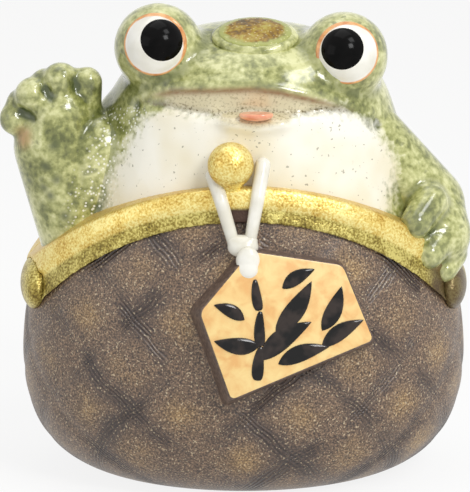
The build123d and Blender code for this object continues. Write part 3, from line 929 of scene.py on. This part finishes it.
def quilt(bm):
    """Presses the lozenge grooves into the pouch's side."""
    bm.normal_update()
    moves = []
    for vert in bm.verts:
        turn = np.arctan2(vert.co.x, -vert.co.y / PURSE_FLATTEN) / (2 * pi) * LOZENGES
        up = vert.co.z / LOZENGE_RISE
        groove = 0
        for slant in (turn + up, turn - up):
            off = abs(slant - round(slant)) * LOZENGE_WIDTH
            groove += np.exp(-((off / GROOVE_WIDTH) ** 2))
        moves.append(-GROOVE_DEPTH * min(groove, 1.2) * float(ease(np.array(vert.co.z), 2, 14)))
    for vert, move in zip(bm.verts, moves):
        vert.co += vert.normal * move
    print(f"grooves up to {-min(moves):.2f} mm deep")


pouch = spun(outline(PURSE_PULLS, PURSE_WIDTH / 2, -FOOT_GRIND, RIM_HEIGHT + FOOT_GRIND, 110), 256)
bmesh.ops.transform(pouch, matrix=Matrix.Diagonal((1, PURSE_FLATTEN, 1, 1)), verts=pouch.verts)
quilt(pouch)
cut_flat(pouch, 0, -1)
bmesh.ops.recalc_face_normals(pouch, faces=pouch.faces)
pouch = carved(pouch, arch(0), "INTERSECT")
drain = bmesh.new()
bmesh.ops.create_cone(
    drain, cap_ends=True, segments=64, radius1=DRAIN_RADIUS, radius2=DRAIN_RADIUS, depth=40,
    matrix=Matrix.Translation((0, 13, 10)),
)
pouch = carved(pouch, drain, "DIFFERENCE")

# %% [markdown]
# ## Purse: slip
# The brown slip follows the same lozenges. Two families of slanting lines are worked out from how far
# round and how high a place is, and a slow noise lets them wander as a hand does. Near a line the slip is
# scored with fine strokes and rubbed dark where the tool pressed, and between the lines it is dusted with
# gold.

# %% Slip
STROKES = 19
slip, tree, shader, place = new_finish(
    "purse_slip", Roughness=0.40, Specular_IOR_Level=0.6, Coat_Weight=0.05, Coat_Roughness=0.3
)
split = add_node(tree, "ShaderNodeSeparateXYZ", {"Vector": place}).outputs
around = figure(tree, "ARCTAN2", split["X"], times(tree, split["Y"], -1 / PURSE_FLATTEN))
turn = times(tree, around, LOZENGES / (2 * pi))
up = times(tree, split["Z"], 1 / (LOZENGE_RISE * MM))
wander = times(tree, figure(tree, "SUBTRACT", clouds(tree, place, 14, 2), 0.5), 0.30)
pressure = steps(tree, clouds(tree, place, 17, 2, 0.4), (0.43, BLACK), (0.60, WHITE))
scored, smear, centre = [], [], []
for operation in ("ADD", "SUBTRACT"):
    slant = figure(tree, "ADD", figure(tree, operation, turn, up), wander)
    off = figure(tree, "PINGPONG", slant, 0.5)
    bundle = steps(tree, off, (0.04, WHITE), (0.17, BLACK))
    stroke = figure(tree, "SINE", times(tree, slant, 2 * pi * STROKES))
    scored.append(times(tree, times(tree, stroke, bundle), pressure))
    smear.append(times(tree, steps(tree, off, (0.05, WHITE), (0.26, BLACK)), pressure))
    centre.append(steps(tree, off, (0.14, BLACK), (0.42, WHITE)))
scored = figure(tree, "ADD", *scored)
smear = figure(tree, "MAXIMUM", *smear)
centre = times(tree, *centre)

grain = clouds(tree, place, 0.42, 2)
patch = steps(tree, clouds(tree, place, 13, 3, 0.5), (0.36, BLACK), (0.62, WHITE))
dark = steps(
    tree, grain, (0.31, colour(54, 42, 37)), (0.50, colour(104, 84, 68)), (0.71, colour(162, 134, 107))
)
gold_dust = steps(
    tree, grain, (0.31, colour(88, 67, 44)), (0.51, colour(158, 127, 86)), (0.71, colour(218, 185, 130))
)
dusting = times(tree, times(tree, centre, patch), 0.75)
tone = blend(tree, dusting, dark, gold_dust)
tone = blend(tree, times(tree, smear, 0.68), tone, colour(60, 49, 49))
# Pale specks: partly gold flecks in the slip, partly painted glints of light.
gold_fleck_and_painted_glint = steps(tree, clouds(tree, place, 0.45, 0), (0.70, BLACK), (0.75, WHITE))
tone = blend(tree, times(tree, gold_fleck_and_painted_glint, 0.55), tone, colour(234, 214, 178))
tone = blend(tree, times(tree, scored, -0.7, clamp=True), tone, colour(40, 31, 29))
paint(tree, shader, tone)
emboss(tree, shader, figure(tree, "ADD", scored, times(tree, grain, 0.5)), 0.6, 0.35)
purse = publish("purse_skin", pouch, "purse_slip", slip, "purse_body")
purse.data.set_sharp_from_angle(angle=radians(40))

# %% [markdown]
# ## Clasp: gold paint
# Gold paint full of fine grains covers the clasp: bright on the rounded rib and greener on the low flange
# under it. A shaded line runs along the rib's top, and brown shows where the paint was left off.

# %% Gold paint
gold, tree, shader, place = new_finish("clasp_gold", Metallic=0.55, Roughness=0.34)
grain = clouds(tree, place, 0.5, 2)
patch = clouds(tree, place, 5, 2)
tint = figure(tree, "ADD", times(tree, grain, 0.6), times(tree, patch, 0.4))
bright = steps(
    tree, tint, (0.34, colour(182, 140, 54)), (0.46, colour(226, 196, 104)), (0.60, colour(247, 233, 156))
)
olive = steps(
    tree, tint, (0.34, colour(92, 78, 28)), (0.47, colour(154, 136, 62)), (0.60, colour(214, 200, 118))
)
tone = blend(tree, marked(tree, "flange"), bright, olive)
tone = blend(tree, marked(tree, "shade"), tone, colour(206, 160, 66))
tone = blend(tree, marked(tree, "bare"), tone, colour(74, 54, 44))
paint(tree, shader, tone)
emboss(tree, shader, grain, 0.55, 0.25)
print("finish:", gold.name)

# %% [markdown]
# ## Clasp: frames, knuckles and ball
# The frames and knuckles follow the CAD pieces exactly, so welded copies of those are remeshed and
# rubbed. The paint is bare on the flange between the cord's two strands and at the right end, below the
# fingers. The ball on its post is made from clay lumps again.

# %% Frames, knuckles and ball
def node_copy(name):
    """A welded copy of a CAD node's mesh, in millimetres."""
    bm = bmesh.new()
    bm.from_mesh(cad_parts[name].data)
    bmesh.ops.scale(bm, vec=(1 / MM,) * 3, verts=bm.verts)
    bmesh.ops.remove_doubles(bm, verts=bm.verts, dist=0.002)
    return bm


def bare_end(x, y):
    """Where the paint is worn off the clasp's right end."""
    return 0.8 * ease(x, 42, 45) * ease(-y, 6, 11)


def mark_gold(piece):
    """Marks the flange, the shaded line along the rib's top, and the bare places."""
    x, y, z = places(piece).T
    off_rim = np.sqrt(x**2 + (z - ARCH_MIDDLE) ** 2) - ARCH_RADIUS
    flange = 1 - ease(off_rim, -0.5, 0.3)
    mark(piece, "flange", flange)
    mark(piece, "shade", 0.5 * ease(off_rim, 4.1, 4.8) * ease(np.abs(x), 4, 9))
    between = flange * ease(x, -5.5, -4.5) * ease(-x, -3.2, -2.2) * (y < 0)
    mark(piece, "bare", np.maximum(between, bare_end(x, y)))


for label in ("front", "rear"):
    band = fused(node_copy(f"clasp_frame_{label}"), 0.42, 5)
    mark_gold(publish(f"clasp_frame_{label}_skin", band, "clasp_gold", gold, f"clasp_frame_{label}"))
for label in ("left", "right"):
    knuckle = fused(node_copy(f"clasp_hinge_{label}"), 0.3, 6)
    hinge = publish(f"clasp_hinge_{label}_skin", knuckle, "clasp_gold", gold, f"clasp_hinge_{label}")
    x, y, _ = places(hinge).T
    mark(hinge, "flange", np.full(len(x), 0.9))
    mark(hinge, "bare", bare_end(x, y))

knob = bmesh.new()
add_ball(knob, (-3, -34.8, 79.7), 10.6, 10.6, 10.6)
add_limb(knob, (-3, -34.2, 76.4), (-3, -31.5, 76.8), 6.4, 7.0)
knob = fused(knob, 0.3, 5)
publish("clasp_ball_skin", knob, "clasp_gold", gold, "clasp_ball")

# %% [markdown]
# ## Cord
# The cord is moulded with the purse and doesn't move: two thick white strands, a knot where they meet and
# one rounded loop over the head of the plaque. Each is a roll of clay, fused from limbs and rubbed until
# it flows. The white enamel is a little warmer where it runs into a crease.

# %% Cord
STRANDS = {
    "left": ((-7.0, -33.6, 77.0), (-5.1, -37.2, 71.6), (-2.4, -37.8, 62.4)),
    "right": ((4.3, -33.8, 79.6), (3.1, -37.1, 72.4), (1.4, -37.8, 62.6)),
}
milk, tree, shader, place = new_finish("cord_white", Roughness=0.18, Coat_Weight=0.4, Coat_Roughness=0.08)
enamel = steps(tree, clouds(tree, place, 5, 2), (0.35, colour(228, 224, 209)), (0.62, colour(243, 241, 232)))
pooled = times(tree, marked(tree, "hollow"), 14.0, clamp=True)
paint(tree, shader, blend(tree, pooled, enamel, colour(216, 206, 178)))
emboss(tree, shader, clouds(tree, place, 2.5, 2), 0.15, 0.3)

for label, (top, bend, foot) in STRANDS.items():
    strand = bmesh.new()
    add_limb(strand, top, bend, 3.7, 3.3)
    add_limb(strand, bend, foot, 3.3, 2.9)
    strand = fused(strand, 0.26, 10)
    mark_hollows(publish(f"cord_{label}_skin", strand, "cord_white", milk, f"relief_cord_{label}"))

knot = bmesh.new()
add_ball(knot, (-0.2, -38.3, 61.4), 7.2, 4.8, 4.8)
add_limb(knot, (-2.2, -38.0, 62.6), (1.6, -38.0, 62.6), 3.4, 3.2)
knot = fused(knot, 0.26, 5)
mark_hollows(publish("cord_knot_skin", knot, "cord_white", milk, "relief_cord_knot"))

loop = bmesh.new()
add_ball(loop, (0.9, -40.7, 58.9), 5.6, 3.4, 6.4)
add_ball(loop, (0.8, -41.2, 56.8), 5.0, 3.0, 4.8)
loop = fused(loop, 0.26, 5)
mark_hollows(publish("cord_loop_skin", loop, "cord_white", milk, "relief_cord_loop"))

# %% [markdown]
# ## Plaque
# A little five-sided board is moulded over the purse's front: a square foot, a pointed head and slanting
# sides. Its face starts as five corners, which are rounded, then drawn back and widened into the purse,
# and the front edge gets a small bevel. The face is brushed tan and the sides are left brown: a dot
# product of the surface's normal with the board's own facing tells the two apart.

# %% Plaque
BOARD_FACING = towards(9, 10)
BOARD_CORNERS = ((-18.4, -14.2), (17.4, -14.2), (17.2, 4.7), (-1.4, 15.7), (-17.6, 7.2))
BOARD_DEPTH = 10.6


def board_place():
    """From the board's own flat frame, X along its foot and Z out of its face, to its place on the purse."""
    along = (Vector((1, 0, 0)) - BOARD_FACING * BOARD_FACING.x).normalized()
    upward = BOARD_FACING.cross(along)
    turn = Matrix((along, upward, BOARD_FACING)).transposed().to_4x4()
    return Matrix.Translation((8.6, -42.4, 47.2)) @ turn @ Matrix.Rotation(radians(22), 4, "Z")


board = bmesh.new()
board.faces.new([board.verts.new((along, upward, 0)) for along, upward in BOARD_CORNERS])
bmesh.ops.bevel(
    board, geom=board.verts[:], offset=1.4, affect="VERTICES", segments=5, profile=0.5, material=-1
)
drawn = bmesh.ops.extrude_face_region(board, geom=board.faces[:])
back = [part for part in drawn["geom"] if isinstance(part, bmesh.types.BMVert)]
bmesh.ops.translate(board, verts=back, vec=(0, 0, -BOARD_DEPTH))
bmesh.ops.scale(board, verts=back, vec=(1.10, 1.17, 1))
bmesh.ops.recalc_face_normals(board, faces=board.faces)
front_edges = [edge for edge in board.edges if all(abs(vert.co.z) < 0.01 for vert in edge.verts)]
bmesh.ops.bevel(
    board, geom=front_edges, offset=0.55, affect="EDGES", segments=3, profile=0.5, material=-1
)
bmesh.ops.transform(board, matrix=board_place(), verts=board.verts)

tan, tree, shader, place = new_finish("plaque_tan", Roughness=0.38, Coat_Weight=0.15, Coat_Roughness=0.2)
fibre = clouds(tree, place, 3.5, 4, 0.4)
wash = steps(
    tree, fibre, (0.34, colour(232, 180, 112)), (0.50, colour(240, 202, 134)), (0.64, colour(244, 214, 146))
)
rough = steps(tree, clouds(tree, place, 0.8, 2), (0.32, colour(66, 50, 42)), (0.66, colour(112, 92, 80)))
normal = add_node(tree, "ShaderNodeNewGeometry").outputs["True Normal"]
facing = add_node(tree, "ShaderNodeVectorMath", {0: normal, 1: BOARD_FACING}, operation="DOT_PRODUCT")
brushed = steps(tree, facing.outputs["Value"], (0.80, BLACK), (0.90, WHITE))
paint(tree, shader, blend(tree, brushed, rough, wash))
emboss(tree, shader, fibre, 0.25, 0.2)
plaque = publish("plaque_skin", board, "plaque_tan", tan, "tag_plaque")
plaque.data.set_sharp_from_angle(angle=radians(35))

# %% [markdown]
# ## Bamboo on the plaque
# A sprig of bamboo is brushed on the board in thick black glaze, which stands up with a wet shine. Each
# stroke starts as a ball that is drawn out flat: a leaf is pinched to points and bowed, as a brush lifts
# off, and a joint of the stem keeps blunt ends. Where the brush was spread, the glaze is thin and fires
# brownish. The numbers of a stroke are its place along and up the board, its length, width and slope, and
# a leaf's bow.

# %% Bamboo
LEAVES = (
    (-1.6, -6.4, 14.6, 4.6, 14, 0.9), (3.0, 0.2, 14.0, 4.4, 32, -0.8), (1.0, -11.0, 12.4, 3.8, -4, 0.7),
    (-12.2, -2.6, 10.6, 3.8, 152, 0.6), (11.0, -3.6, 11.0, 3.8, 44, -0.6), (11.2, -9.8, 11.4, 3.6, 10, 0.6),
    (6.4, 5.6, 8.6, 3.2, 8, 0.5), (-11.2, 4.6, 7.8, 3.0, 132, -0.5),
)
STEMS = ((-9.2, -8.8, 7.8, 2.6, 62), (-6.0, -1.6, 8.0, 2.4, 68), (-3.8, 5.8, 7.2, 2.2, 76))
LEAF_PINCH = 0.35
STEM_BOW, STEM_PINCH = 0.2, -0.2


def brush_stroke(bm, along, upward, length, wide, slope, bow, pinch):
    """One flat stroke of glaze: pinch draws its ends to points, bow bends it."""
    ball = bmesh.ops.create_uvsphere(bm, u_segments=32, v_segments=24, radius=1)["verts"]
    for vert in ball:
        u = vert.co.x
        vert.co.y *= max(1 - u * u, 0) ** pinch * (1 - 0.3 * u)
        vert.co = (length / 2 * u, wide / 2 * vert.co.y + bow * (1 - u * u), 0.5 * vert.co.z)
    lay = Matrix.Translation((along, upward, 0.1)) @ Matrix.Rotation(radians(slope), 4, "Z")
    bmesh.ops.transform(bm, matrix=lay, verts=ball)


sprig = bmesh.new()
for leaf in LEAVES:
    brush_stroke(sprig, *leaf, LEAF_PINCH)
for joint in STEMS:
    brush_stroke(sprig, *joint, STEM_BOW, STEM_PINCH)
bmesh.ops.transform(sprig, matrix=board_place(), verts=sprig.verts)
ink, tree, shader, place = new_finish("brush_black", Roughness=0.08, Specular_IOR_Level=0.35)
spread = steps(tree, clouds(tree, place, 4.5, 2), (0.46, colour(6, 5, 5)), (0.60, colour(50, 41, 37)))
paint(tree, shader, spread)
publish("bamboo_brushwork", sprig, "pupil_black", ink)
